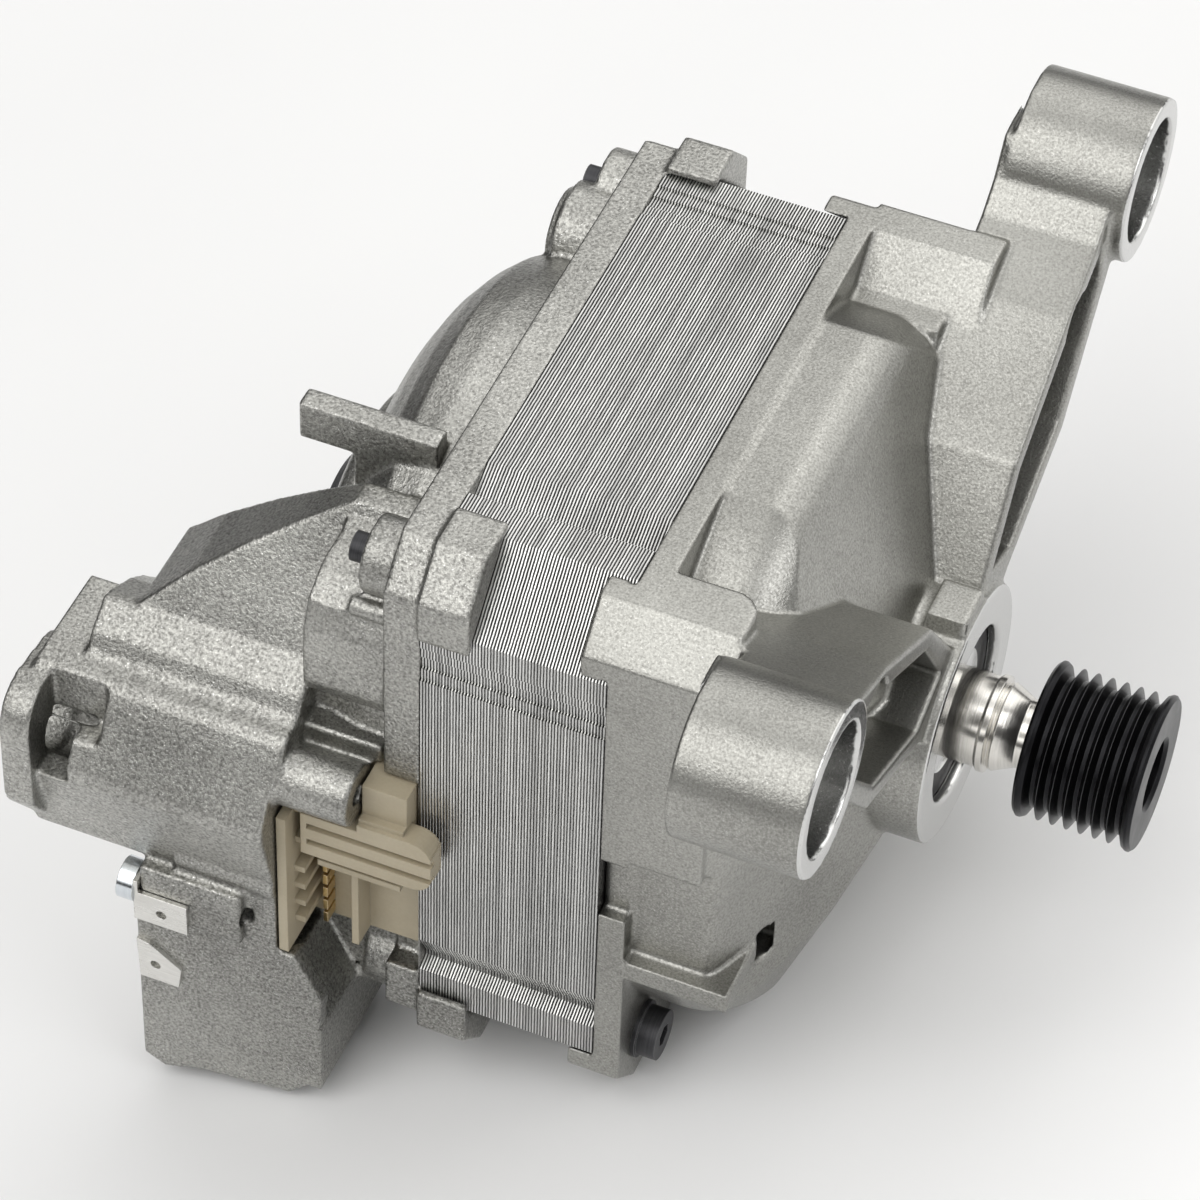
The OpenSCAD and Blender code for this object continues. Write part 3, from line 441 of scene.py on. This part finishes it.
@dataclass(frozen=True)
class Moulded(Finish):
    """Moulded plastic, resin or carbon with a faint skin."""

    name: str
    colour: Colour
    shade: Colour
    rough: float
    grain: float = 0.0005
    depth: float = 0.00002
    glow: float = 0.0

    def build(self) -> bpy.types.Material:
        """Makes the material: mottled colour, moulding skin, softened edges."""
        t = NodeTree(self.name)
        skin = t.noise(1 / self.grain, 3.0, 0.55)
        cloud = t.noise(70, 3.0, 0.55)
        mottle = t.sum(cloud, t.sum(skin, 0.4, "MULTIPLY"))
        tone = t.blend(self.shade, self.colour, t.ramp(mottle, 0.45, 0.95))
        gloss = t.ramp(skin, 0.3, 0.7, self.rough - 0.06, self.rough + 0.08)
        normal = t.relief(skin, self.depth, 0.7, t.soft_edges(0.0003))
        made = t.finish(Base_Color=tone, Metallic=0.0, Roughness=gloss, Normal=normal)
        if self.glow:
            t.finish(Subsurface_Weight=self.glow, Subsurface_Scale=0.0015, Subsurface_Radius=(1.0, 0.8, 0.5))
        return made


@dataclass(frozen=True)
class Wound(Finish):
    """Enamelled copper wire, laid turn by turn."""

    name: str
    axis: Point
    colour: Colour = (0.62, 0.24, 0.09)
    gap: Colour = (0.09, 0.03, 0.015)
    cloudy: Colour = (0.36, 0.12, 0.04)
    turns: float = 480.0

    def build(self) -> bpy.types.Material:
        """Makes the material: round turns of wire side by side under lacquer."""
        t = NodeTree(self.name)
        wave = t.node("TexWave", wave_type="BANDS", bands_direction="X", wave_profile="SIN")
        t.link(t.stretched(self.axis), wave.inputs["Vector"])
        wave.inputs["Scale"].default_value = self.turns
        wave.inputs["Distortion"].default_value = 0.9
        wave.inputs["Detail Scale"].default_value = 0.6
        cloud = t.noise(220, 3.0, 0.6)
        tone = t.blend(self.gap, self.colour, t.ramp(wave.outputs["Fac"], 0.02, 0.4))
        tone = t.blend(tone, self.cloudy, t.ramp(cloud, 0.45, 0.8, 0.0, 0.6))
        normal = t.relief(wave.outputs["Fac"], 0.0002, 0.9)
        gloss = t.ramp(cloud, 0.3, 0.7, 0.24, 0.4)
        return t.finish(Base_Color=tone, Metallic=0.55, Roughness=gloss, Normal=normal, Coat_Weight=0.6,
                        Coat_Roughness=0.15)


# Turned places of the drive-end shield: the faces and bores of both lugs and of the bearing hub.
LUG_Y = 0.0704
LUG_Z = 0.0553
LUG_PLACES = tuple(Turned(side * LUG_Y, LUG_Z, radius, start)
                   for side in (1, -1) for radius, start in ((0.0138, 0.0406), (0.0106, 0.0)))
HUB_PLACES = (Turned(0.0, 0.0, 0.0216, 0.0397), Turned(0.0, 0.0, 0.0176, 0.0))
# Both castings carry painted glints, near-white specks in their colour, the coarse one more of them.
CAST_FINE = Casting("cast_fine_aluminium", light=(0.46, 0.457, 0.43), dark=(0.22, 0.217, 0.202), grain=0.0004,
                    depth=0.00003, rough=0.3, painted_glint_share=0.3, machined=LUG_PLACES + HUB_PLACES)
CAST_COARSE = Casting("cast_coarse_aluminium", light=(0.56, 0.556, 0.525), dark=(0.14, 0.138, 0.129),
                      grain=0.00052, depth=0.00007, rough=0.32, painted_glint_share=0.7)
SHEETS = SheetStack("lamination_edges")
SHEETS_ROTOR = SheetStack("armature_edges", light=(0.56, 0.55, 0.53))
BLACK_STEEL = Metal("black_screw_steel", (0.07, 0.07, 0.075), (0.03, 0.03, 0.033), 0.42, metallic=0.6,
                    wear=0.18)
PULLEY_BLACK = Metal("black_oxide_pulley", (0.016, 0.016, 0.018), (0.007, 0.007, 0.008), 0.32, metallic=0.85,
                     edge=(0.3, 0.3, 0.31), wear=0.25)
SHAFT_STEEL = Metal("ground_shaft_steel", (0.84, 0.82, 0.78), (0.6, 0.58, 0.54), 0.2, pitch=0.00025)
SPRING_STEEL = Metal("spring_steel", (0.5, 0.5, 0.51), (0.33, 0.33, 0.34), 0.34)
RACE_STEEL = Metal("bearing_steel", (0.8, 0.8, 0.81), (0.66, 0.66, 0.67), 0.16)
BRASS = Metal("pressed_brass", (0.8, 0.6, 0.28), (0.62, 0.44, 0.19), 0.3, lines=(1.0, 1.0, 0.05))
TINNED = Metal("tinned_tab", (0.82, 0.81, 0.78), (0.66, 0.65, 0.62), 0.27, lines=(0.05, 1.0, 1.0))
ZINC = Metal("zinc_screw", (0.8, 0.83, 0.85), (0.62, 0.66, 0.7), 0.2)
COPPER = Metal("turned_copper", (0.86, 0.5, 0.34), (0.66, 0.34, 0.2), 0.3)
# Cream plastic in a darker colour than its own: the shade of the recess the terminal block sits in is painted
# into it.
CREAM_PAINTED_SHADE = Moulded("cream_moulding_painted_shade", (0.44, 0.385, 0.28), (0.35, 0.3, 0.21), 0.42, glow=0.05)
BLACK_PLASTIC = Moulded("black_moulding", (0.035, 0.035, 0.038), (0.02, 0.02, 0.022), 0.45)
RESIN = Moulded("brown_resin", (0.16, 0.08, 0.045), (0.09, 0.045, 0.028), 0.36)
CARBON = Moulded("pressed_carbon", (0.06, 0.06, 0.062), (0.028, 0.028, 0.03), 0.5, grain=0.00025)
MAGNET = Moulded("sintered_magnet", (0.13, 0.13, 0.135), (0.07, 0.07, 0.075), 0.46)
SEAL = Moulded("seal_rubber", (0.035, 0.034, 0.034), (0.018, 0.018, 0.018), 0.55)
PAPER = Moulded("slot_paper", (0.72, 0.66, 0.42), (0.56, 0.5, 0.3), 0.6, grain=0.0002)
WIRE_X = Wound("field_wire", (1.0, 1.0, 6.0))
WIRE_R = Wound("armature_wire", (5.0, 1.0, 1.0))
WIRE_SENSOR = Wound("sensor_wire", (6.0, 1.0, 1.0))


def soften(piece: bpy.types.Object, width: float, segments: int = 2) -> None:
    """Bevels the sharp edges of a piece and smooths it by angle.

    Args:
        piece: the object.
        width: the bevel's width in millimetres.
        segments: the bevel's steps.
    """
    bevel = piece.modifiers.new("edge_break", "BEVEL")
    bevel.width = width * MM
    bevel.segments = segments
    bevel.limit_method = "ANGLE"
    bevel.angle_limit = math.radians(SHARP)
    bevel.harden_normals = False
    shade_by_angle(piece, BEVELLED)


def shade_by_angle(piece: bpy.types.Object, angle: float) -> None:
    """Smooths the shading where faces meet at less than an angle.

    Args:
        piece: the object.
        angle: the limit in degrees.
    """
    piece.data.shade_smooth()
    with bpy.context.temp_override(object=piece, active_object=piece, selected_editable_objects=[piece]):
        bpy.ops.object.shade_smooth_by_angle(angle=math.radians(angle))


def cast_skin(piece: bpy.types.Object, voxel: float, rounds: int) -> None:
    """Gives a casting its small fillets and rounded edges.

    Args:
        piece: the shield.
        voxel: the size of the rebuilt mesh's cells in millimetres.
        rounds: how many times it is smoothed.
    """
    rebuilt = piece.modifiers.new("casting", "REMESH")
    rebuilt.mode = "VOXEL"
    rebuilt.voxel_size = voxel * MM
    rebuilt.use_smooth_shade = True
    smooth = piece.modifiers.new("fillets", "SMOOTH")
    smooth.factor = 0.5
    smooth.iterations = rounds


@dataclass
class StatorStack:
    """The bare lamination stack with its coils and end insulators."""

    nodes: dict[str, bpy.types.Object]

    def build(self) -> None:
        """Dresses the stack, the coils and the insulators."""
        SHEETS.dress(self.nodes["stator_core"])
        shade_by_angle(self.nodes["stator_core"], 25.0)
        WIRE_X.dress(self.nodes["field_coil_upper"], self.nodes["field_coil_lower"])
        for name in ("field_coil_upper", "field_coil_lower"):
            soften(self.nodes[name], 1.6, 3)
        for name in ("front_end_insulator", "rear_end_insulator"):
            CREAM_PAINTED_SHADE.dress(self.nodes[name])
            soften(self.nodes[name], 0.2)
        LOG.info("stator stack dressed")


@dataclass
class DriveShield:
    """The drive-end casting with its two lugs."""

    nodes: dict[str, bpy.types.Object]
    voxel: float = 0.45
    rounds: int = 3

    def build(self) -> None:
        """Rounds and dresses the casting."""
        shield = self.nodes["drive_end_shield"]
        CAST_FINE.dress(shield)
        cast_skin(shield, self.voxel, self.rounds)
        LOG.info("drive-end shield dressed")


@dataclass
class RearShield:
    """The commutator-end casting with the rear arm and the connector recess."""

    nodes: dict[str, bpy.types.Object]
    voxel: float = 0.45
    rounds: int = 4

    def build(self) -> None:
        """Rounds and dresses the casting."""
        shield = self.nodes["rear_end_shield"]
        CAST_COARSE.dress(shield)
        cast_skin(shield, self.voxel, self.rounds)
        LOG.info("rear shield dressed")


@dataclass
class Fasteners:
    """The four housing screws, the earth tabs and their screw."""

    nodes: dict[str, bpy.types.Object]

    def build(self) -> None:
        """Dresses the small metal pieces."""
        BLACK_STEEL.dress(self.nodes["housing_screws"])
        soften(self.nodes["housing_screws"], 0.3)
        for name in ("earth_tab_upper", "earth_tab_lower"):
            TINNED.dress(self.nodes[name])
            soften(self.nodes[name], 0.12)
        ZINC.dress(self.nodes["earth_tab_screw"])
        soften(self.nodes["earth_tab_screw"], 0.5, 3)
        LOG.info("fasteners dressed")


@dataclass
class Rotor:
    """The shaft with the armature, the commutator and the pulley."""

    nodes: dict[str, bpy.types.Object]

    def build(self) -> None:
        """Dresses all the turning pieces."""
        plan: dict[str, tuple[Finish, float]] = {
            "shaft": (SHAFT_STEEL, 0.15),
            "pulley": (PULLEY_BLACK, 0.12),
            "armature_core": (SHEETS_ROTOR, 0.0),
            "armature_slot_liners": (PAPER, 0.0),
            "armature_windings": (WIRE_R, 0.0),
            "commutator_bars": (COPPER, 0.0),
            "commutator_hub": (RESIN, 0.1),
            "commutator_spacer": (CREAM_PAINTED_SHADE, 0.2),
            "speed_magnet": (MAGNET, 0.2),
        }
        for name, (finish, width) in plan.items():
            finish.dress(self.nodes[name])
            if width:
                soften(self.nodes[name], width)
            else:
                shade_by_angle(self.nodes[name], 30.0)
        LOG.info("rotor dressed")


@dataclass
class Bearings:
    """Both ball bearings with the ring and washer that hold them."""

    nodes: dict[str, bpy.types.Object]

    def build(self) -> None:
        """Dresses races, balls, cages and seals."""
        plan: dict[str, Finish] = {"outer_race": RACE_STEEL, "inner_race": RACE_STEEL, "balls": RACE_STEEL,
                                   "cage": BRASS, "seals": SEAL}
        for end in End:
            for part, finish in plan.items():
                piece = self.nodes[f"{end.value}_bearing_{part}"]
                finish.dress(piece)
                shade_by_angle(piece, 35.0)
        for name in ("retaining_ring", "preload_washer"):
            SPRING_STEEL.dress(self.nodes[name])
            soften(self.nodes[name], 0.1)
        LOG.info("bearings dressed")


@dataclass
class BrushGear:
    """Brush frames, tubes, brushes and springs on both sides, and the speed sensor."""

    nodes: dict[str, bpy.types.Object]

    def build(self) -> None:
        """Dresses the brush gear and the sensor."""
        for side in Side:
            for part, finish in (("frame", RESIN), ("tube", BRASS), ("spring", SPRING_STEEL)):
                piece = self.nodes[f"brush_{part}_{side.value}"]
                finish.dress(piece)
                shade_by_angle(piece, 35.0)
            brush = self.nodes[f"brush_{side.value}"]
            CARBON.dress(brush)
            soften(brush, 0.15)
        WIRE_SENSOR.dress(self.nodes["speed_coil"])
        shade_by_angle(self.nodes["speed_coil"], 30.0)
        BLACK_PLASTIC.dress(self.nodes["speed_sensor_cap"])
        soften(self.nodes["speed_sensor_cap"], 0.4)
        LOG.info("brush gear dressed")


@dataclass
class TerminalGear:
    """The cream terminal block and its flat terminals."""

    nodes: dict[str, bpy.types.Object]

    def build(self) -> None:
        """Dresses the block and the terminals."""
        CREAM_PAINTED_SHADE.dress(self.nodes["terminal_block"])
        soften(self.nodes["terminal_block"], 0.25)
        BRASS.dress(self.nodes["terminal_blades"])
        soften(self.nodes["terminal_blades"], 0.1)
        LOG.info("terminal gear dressed")


@dataclass(frozen=True)
class Glow:
    """A bright patch of the surround: where it lies, and how it rises with the cosine to its axis."""

    axis: Point
    low: float
    high: float
    bright: float
    dim: float = 0.0


@dataclass(frozen=True)
class Lamp:
    """A square soft lamp: its place from the motor and its side in metres, its power in watts."""

    offset: Point
    side: float
    power: float


@dataclass
class Studio:
    """The white floor, the soft light and the camera of the photograph."""

    azimuth: float = 21.072
    elevation: float = 46.431
    roll: float = 2.148
    place: Point = (0.184395, -0.537048, 0.604359)
    sensor: float = 36.0
    focal_share: float = 5201 / 1200
    floor_points: tuple[Point, Point] = ((-0.062, 0.0, -0.0735), (0.02, 0.0, -0.0525))
    floor_reach: float = 6.0
    floor_tones: tuple[Colour, Colour] = ((0.8, 0.8, 0.805), (0.84, 0.84, 0.84))
    lamp: Lamp = Lamp((0.75, -0.35, 0.95), 0.7, 4.2)
    target: Vector = field(default_factory=lambda: Vector((-0.02, 0.0, 0.0)))
    glow: tuple[Glow, ...] = (
        Glow((0.0, 0.0, 1.0), 0.1, 0.9, 0.3, dim=0.04),
        Glow((-0.27, 0.62, 0.74), 0.8, 0.95, 1.1),
        Glow((-0.33, -0.66, 0.68), 0.8, 0.95, 2.1),
        Glow((0.45, 0.62, 0.64), 0.8, 0.95, 1.4),
        Glow((-0.25, -0.05, 0.97), 0.85, 0.97, 0.7),
    )

    def build(self) -> None:
        """Makes the camera, the floor, the surround and the lamp."""
        bpy.context.scene.view_settings.view_transform = "Standard"
        self._camera()
        self._floor()
        self._world()
        self._lamp()
        LOG.info("studio ready")

    def axes(self) -> tuple[Vector, Vector, Vector]:
        """Gives the camera's right, up and back directions."""
        a, e, r = (math.radians(v) for v in (self.azimuth, self.elevation, self.roll))
        back = Vector((math.sin(a) * math.cos(e), -math.cos(a) * math.cos(e), math.sin(e)))
        right = Vector((0, 0, 1)).cross(back).normalized()
        up = back.cross(right)
        return (right * math.cos(r) + up * math.sin(r), up * math.cos(r) - right * math.sin(r), back)

    def _camera(self) -> None:
        """Makes the camera at the photograph's place."""
        data = bpy.data.cameras.new("photo_camera")
        camera = bpy.data.objects.new("photo_camera", data)
        bpy.context.scene.collection.objects.link(camera)
        right, up, back = self.axes()
        matrix = Matrix((right, up, back)).transposed().to_4x4()
        matrix.translation = Vector(self.place)
        camera.matrix_world = matrix
        data.lens = self.focal_share * self.sensor
        data.sensor_width = self.sensor
        data.clip_start = 0.01
        data.clip_end = 50.0
        bpy.context.scene.camera = camera

    def _floor(self) -> None:
        """Makes the white sheet that the motor lies on."""
        low, high = (Vector(p) for p in self.floor_points)
        along = (high - low).normalized() * self.floor_reach
        across = Vector((0, 1, 0)) * self.floor_reach
        data = bpy.data.meshes.new("floor")
        corners = [low + along * a + across * b for a, b in ((-1, -1), (1, -1), (1, 1), (-1, 1))]
        data.from_pydata(corners, [], [(0, 1, 2, 3)])
        floor = bpy.data.objects.new("floor", data)
        bpy.context.scene.collection.objects.link(floor)
        t = NodeTree("white_sheet")
        colour = t.blend(*self.floor_tones, t.noise(9, 2.0))
        floor.data.materials.append(t.finish(Base_Color=colour, Roughness=0.75, Metallic=0.0))

    def _world(self) -> None:
        """Makes a surround that is bright overhead and dim towards the horizon, as in a light tent."""
        world = bpy.data.worlds.new("studio_air")
        bpy.context.scene.world = world
        world.use_nodes = True
        tree = world.node_tree
        back = tree.nodes["Background"]
        where = tree.nodes.new("ShaderNodeTexCoord")
        level: Any = None
        for glow in self.glow:
            dot = tree.nodes.new("ShaderNodeVectorMath")
            dot.operation = "DOT_PRODUCT"
            dot.inputs[1].default_value = Vector(glow.axis).normalized()
            tree.links.new(where.outputs["Generated"], dot.inputs[0])
            ramp = tree.nodes.new("ShaderNodeMapRange")
            ramp.interpolation_type = "SMOOTHSTEP"
            tree.links.new(dot.outputs["Value"], ramp.inputs["Value"])
            ramp.inputs["From Min"].default_value = glow.low
            ramp.inputs["From Max"].default_value = glow.high
            ramp.inputs["To Min"].default_value = glow.dim
            ramp.inputs["To Max"].default_value = glow.bright
            add = tree.nodes.new("ShaderNodeMath")
            add.inputs[0].default_value = 0.0
            if level is not None:
                tree.links.new(level, add.inputs[0])
            tree.links.new(ramp.outputs["Result"], add.inputs[1])
            level = add.outputs[0]
        back.inputs["Color"].default_value = (1.0, 0.995, 0.98, 1.0)
        tree.links.new(level, back.inputs["Strength"])

    def _lamp(self) -> None:
        """Makes the square soft lamp, turned towards the motor."""
        data = bpy.data.lights.new("key", "AREA")
        data.shape = "SQUARE"
        data.size = self.lamp.side
        data.energy = self.lamp.power
        lamp = bpy.data.objects.new("key", data)
        bpy.context.scene.collection.objects.link(lamp)
        offset = Vector(self.lamp.offset)
        lamp.location = self.target + offset
        lamp.rotation_mode = "QUATERNION"
        lamp.rotation_quaternion = (-offset).to_track_quat("-Z", "Y")


def main() -> None:
    """Builds the sub-assemblies in order and reports each."""
    logging.basicConfig(level=logging.INFO, format="%(name)s: %(message)s")
    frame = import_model()
    nodes = frame["nodes"]
    Studio().build()
    for part in (StatorStack(nodes), DriveShield(nodes), RearShield(nodes), Fasteners(nodes), Rotor(nodes),
                 Bearings(nodes), BrushGear(nodes), TerminalGear(nodes)):
        part.build()


if __name__ == "__main__":
    main()
